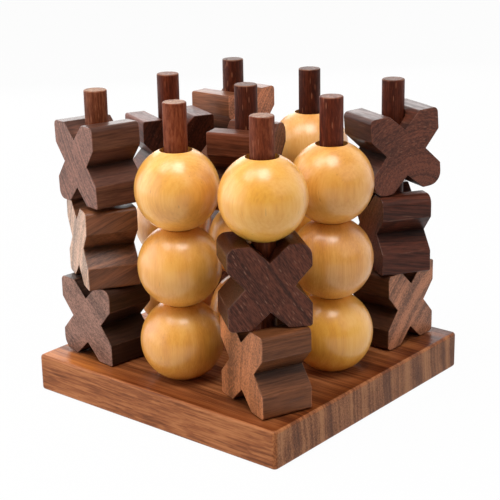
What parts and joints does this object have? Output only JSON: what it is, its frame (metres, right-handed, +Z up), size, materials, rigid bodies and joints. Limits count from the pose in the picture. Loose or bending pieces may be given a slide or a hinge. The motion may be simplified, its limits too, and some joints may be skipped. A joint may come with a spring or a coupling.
{
  "type": "three-dimensional tic-tac-toe board",
  "caption": "Square wooden base with upright pegs that hold stacks of bored wooden balls and X-shaped blocks, lifted on and off to play tic-tac-toe in layers.",
  "frame": {"origin": "middle of the board's underside, on the surface it stands on", "axes": "+Z up along the pegs; X and Y along the board's edges"},
  "size_m": [0.15, 0.15, 0.1508],
  "materials": {
    "board_wood": "satin oiled hardwood, reddish brown",
    "peg_wood": "bare dark reddish-brown dowel",
    "ball_wood": "lacquered pale yellow-tan hardwood",
    "cross_wood": "satin oiled dark brown hardwood"
  },
  "bodies": {
    "board": {"base_board": "board_wood", "peg_a1": "peg_wood", "peg_b1": "peg_wood", "peg_c1": "peg_wood", "peg_a2": "peg_wood", "peg_b2": "peg_wood", "peg_c2": "peg_wood", "peg_a3": "peg_wood", "peg_b3": "peg_wood", "peg_c3": "peg_wood"},
    "cross_a1_low": {"cross_a1_low": "cross_wood"},
    "cross_a1_mid": {"cross_a1_mid": "cross_wood"},
    "cross_a1_top": {"cross_a1_top": "cross_wood"},
    "ball_b1_low": {"ball_b1_low": "ball_wood"},
    "ball_b1_mid": {"ball_b1_mid": "ball_wood"},
    "ball_b1_top": {"ball_b1_top": "ball_wood"},
    "cross_c1_low": {"cross_c1_low": "cross_wood"},
    "cross_c1_mid": {"cross_c1_mid": "cross_wood"},
    "ball_c1_top": {"ball_c1_top": "ball_wood"},
    "ball_a2_low": {"ball_a2_low": "ball_wood"},
    "ball_a2_mid": {"ball_a2_mid": "ball_wood"},
    "cross_a2_top": {"cross_a2_top": "cross_wood"},
    "ball_b2_low": {"ball_b2_low": "ball_wood"},
    "ball_b2_mid": {"ball_b2_mid": "ball_wood"},
    "cross_b2_top": {"cross_b2_top": "cross_wood"},
    "ball_c2_low": {"ball_c2_low": "ball_wood"},
    "ball_c2_mid": {"ball_c2_mid": "ball_wood"},
    "ball_c2_top": {"ball_c2_top": "ball_wood"},
    "cross_a3_low": {"cross_a3_low": "cross_wood"},
    "cross_a3_mid": {"cross_a3_mid": "cross_wood"},
    "cross_a3_top": {"cross_a3_top": "cross_wood"},
    "ball_b3_low": {"ball_b3_low": "ball_wood"},
    "ball_b3_mid": {"ball_b3_mid": "ball_wood"},
    "ball_b3_top": {"ball_b3_top": "ball_wood"},
    "cross_c3_low": {"cross_c3_low": "cross_wood"},
    "cross_c3_mid": {"cross_c3_mid": "cross_wood"},
    "cross_c3_top": {"cross_c3_top": "cross_wood"}
  },
  "joints": [
    {"name": "lift_cross_a1_low", "type": "slide", "parent": "board", "child": "cross_a1_low", "axis": [0, 0, 1], "range_m": [0, 0.134]},
    {"name": "lift_cross_a1_mid", "type": "slide", "parent": "cross_a1_low", "child": "cross_a1_mid", "axis": [0, 0, 1], "range_m": [0, 0.0951]},
    {"name": "lift_cross_a1_top", "type": "slide", "parent": "cross_a1_mid", "child": "cross_a1_top", "axis": [0, 0, 1], "range_m": [0, 0.0562]},
    {"name": "lift_ball_b1_low", "type": "slide", "parent": "board", "child": "ball_b1_low", "axis": [0, 0, 1], "range_m": [0, 0.134]},
    {"name": "lift_ball_b1_mid", "type": "slide", "parent": "ball_b1_low", "child": "ball_b1_mid", "axis": [0, 0, 1], "range_m": [0, 0.0973]},
    {"name": "lift_ball_b1_top", "type": "slide", "parent": "ball_b1_mid", "child": "ball_b1_top", "axis": [0, 0, 1], "range_m": [0, 0.0606]},
    {"name": "lift_cross_c1_low", "type": "slide", "parent": "board", "child": "cross_c1_low", "axis": [0, 0, 1], "range_m": [0, 0.134]},
    {"name": "lift_cross_c1_mid", "type": "slide", "parent": "cross_c1_low", "child": "cross_c1_mid", "axis": [0, 0, 1], "range_m": [0, 0.0951]},
    {"name": "lift_ball_c1_top", "type": "slide", "parent": "cross_c1_mid", "child": "ball_c1_top", "axis": [0, 0, 1], "range_m": [0, 0.0565]},
    {"name": "lift_ball_a2_low", "type": "slide", "parent": "board", "child": "ball_a2_low", "axis": [0, 0, 1], "range_m": [0, 0.134]},
    {"name": "lift_ball_a2_mid", "type": "slide", "parent": "ball_a2_low", "child": "ball_a2_mid", "axis": [0, 0, 1], "range_m": [0, 0.0973]},
    {"name": "lift_cross_a2_top", "type": "slide", "parent": "ball_a2_mid", "child": "cross_a2_top", "axis": [0, 0, 1], "range_m": [0, 0.0609]},
    {"name": "lift_ball_b2_low", "type": "slide", "parent": "board", "child": "ball_b2_low", "axis": [0, 0, 1], "range_m": [0, 0.134]},
    {"name": "lift_ball_b2_mid", "type": "slide", "parent": "ball_b2_low", "child": "ball_b2_mid", "axis": [0, 0, 1], "range_m": [0, 0.0973]},
    {"name": "lift_cross_b2_top", "type": "slide", "parent": "ball_b2_mid", "child": "cross_b2_top", "axis": [0, 0, 1], "range_m": [0, 0.0609]},
    {"name": "lift_ball_c2_low", "type": "slide", "parent": "board", "child": "ball_c2_low", "axis": [0, 0, 1], "range_m": [0, 0.134]},
    {"name": "lift_ball_c2_mid", "type": "slide", "parent": "ball_c2_low", "child": "ball_c2_mid", "axis": [0, 0, 1], "range_m": [0, 0.0973]},
    {"name": "lift_ball_c2_top", "type": "slide", "parent": "ball_c2_mid", "child": "ball_c2_top", "axis": [0, 0, 1], "range_m": [0, 0.0606]},
    {"name": "lift_cross_a3_low", "type": "slide", "parent": "board", "child": "cross_a3_low", "axis": [0, 0, 1], "range_m": [0, 0.134]},
    {"name": "lift_cross_a3_mid", "type": "slide", "parent": "cross_a3_low", "child": "cross_a3_mid", "axis": [0, 0, 1], "range_m": [0, 0.0951]},
    {"name": "lift_cross_a3_top", "type": "slide", "parent": "cross_a3_mid", "child": "cross_a3_top", "axis": [0, 0, 1], "range_m": [0, 0.0562]},
    {"name": "lift_ball_b3_low", "type": "slide", "parent": "board", "child": "ball_b3_low", "axis": [0, 0, 1], "range_m": [0, 0.134]},
    {"name": "lift_ball_b3_mid", "type": "slide", "parent": "ball_b3_low", "child": "ball_b3_mid", "axis": [0, 0, 1], "range_m": [0, 0.0973]},
    {"name": "lift_ball_b3_top", "type": "slide", "parent": "ball_b3_mid", "child": "ball_b3_top", "axis": [0, 0, 1], "range_m": [0, 0.0606]},
    {"name": "lift_cross_c3_low", "type": "slide", "parent": "board", "child": "cross_c3_low", "axis": [0, 0, 1], "range_m": [0, 0.134]},
    {"name": "lift_cross_c3_mid", "type": "slide", "parent": "cross_c3_low", "child": "cross_c3_mid", "axis": [0, 0, 1], "range_m": [0, 0.0951]},
    {"name": "lift_cross_c3_top", "type": "slide", "parent": "cross_c3_mid", "child": "cross_c3_top", "axis": [0, 0, 1], "range_m": [0, 0.0562]}
  ]
}
